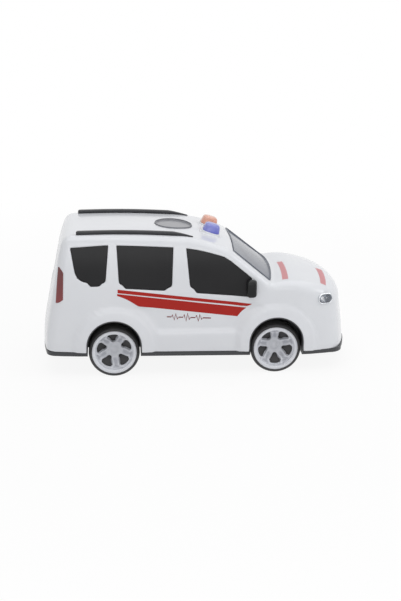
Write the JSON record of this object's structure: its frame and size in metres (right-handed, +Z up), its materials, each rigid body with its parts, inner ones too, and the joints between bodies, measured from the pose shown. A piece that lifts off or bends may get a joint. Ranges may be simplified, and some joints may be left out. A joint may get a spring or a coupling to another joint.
{
  "type": "toy ambulance",
  "caption": "Free-rolling toy ambulance van: moulded shell on a black chassis, spoked wheels on steel axles, dark glazing, roof rails and two roof beacons.",
  "frame": {"origin": "on the ground plane under the middle of the body", "axes": "+X forwards along the vehicle, +Y to its left, +Z up"},
  "size_m": [0.2981, 0.1296, 0.1428],
  "materials": {
    "white_gloss": "glossy moulded white",
    "black_base": "semi-gloss moulded black",
    "steel": "plain drawn steel",
    "rim_silver": "silver pigmented plastic",
    "tyre_black": "soft black vinyl",
    "dark_glazing": "opaque dark glossy pane",
    "screen_glazing": "dark glossy pane",
    "trim_black": "satin black",
    "lens_blue": "tinted translucent blue",
    "lens_orange": "tinted translucent orange red",
    "lamp_bright": "bright metallised plastic",
    "lamp_lens": "smoked clear lens",
    "tail_red": "deep red lens"
  },
  "bodies": {
    "vehicle": {"body_shell": "white_gloss", "chassis_base": "black_base", "chassis_screws": "steel", "windscreen": "screen_glazing", "rear_window": "dark_glazing", "roof_hatch": "dark_glazing", "door_window_right": "dark_glazing", "door_window_left": "dark_glazing", "middle_window_right": "dark_glazing", "middle_window_left": "dark_glazing", "quarter_window_right": "dark_glazing", "quarter_window_left": "dark_glazing", "roof_rail_right": "trim_black", "roof_rail_left": "trim_black", "beacon_base_right": "white_gloss", "beacon_base_left": "white_gloss", "beacon_lens_right": "lens_blue", "beacon_lens_left": "lens_orange", "headlight_housing_right": "lamp_bright", "headlight_housing_left": "lamp_bright", "headlight_lens_right": "lamp_lens", "headlight_lens_left": "lamp_lens", "tail_light_right": "tail_red", "tail_light_left": "tail_red", "mirror_right": "trim_black", "mirror_left": "trim_black", "grille": "trim_black"},
    "front_wheels": {"front_axle": "steel", "rim_front_right": "rim_silver", "rim_front_left": "rim_silver", "tyre_front_right": "tyre_black", "tyre_front_left": "tyre_black"},
    "rear_wheels": {"rear_axle": "steel", "rim_rear_right": "rim_silver", "rim_rear_left": "rim_silver", "tyre_rear_right": "tyre_black", "tyre_rear_left": "tyre_black"}
  },
  "joints": [
    {"name": "front_wheels_spin", "type": "hinge", "parent": "vehicle", "child": "front_wheels", "pos_m": [0.07575, 0, 0.0245], "axis": [0, 1, 0], "continuous": true},
    {"name": "rear_wheels_spin", "type": "hinge", "parent": "vehicle", "child": "rear_wheels", "pos_m": [-0.08025, 0, 0.0245], "axis": [0, 1, 0], "continuous": true}
  ]
}
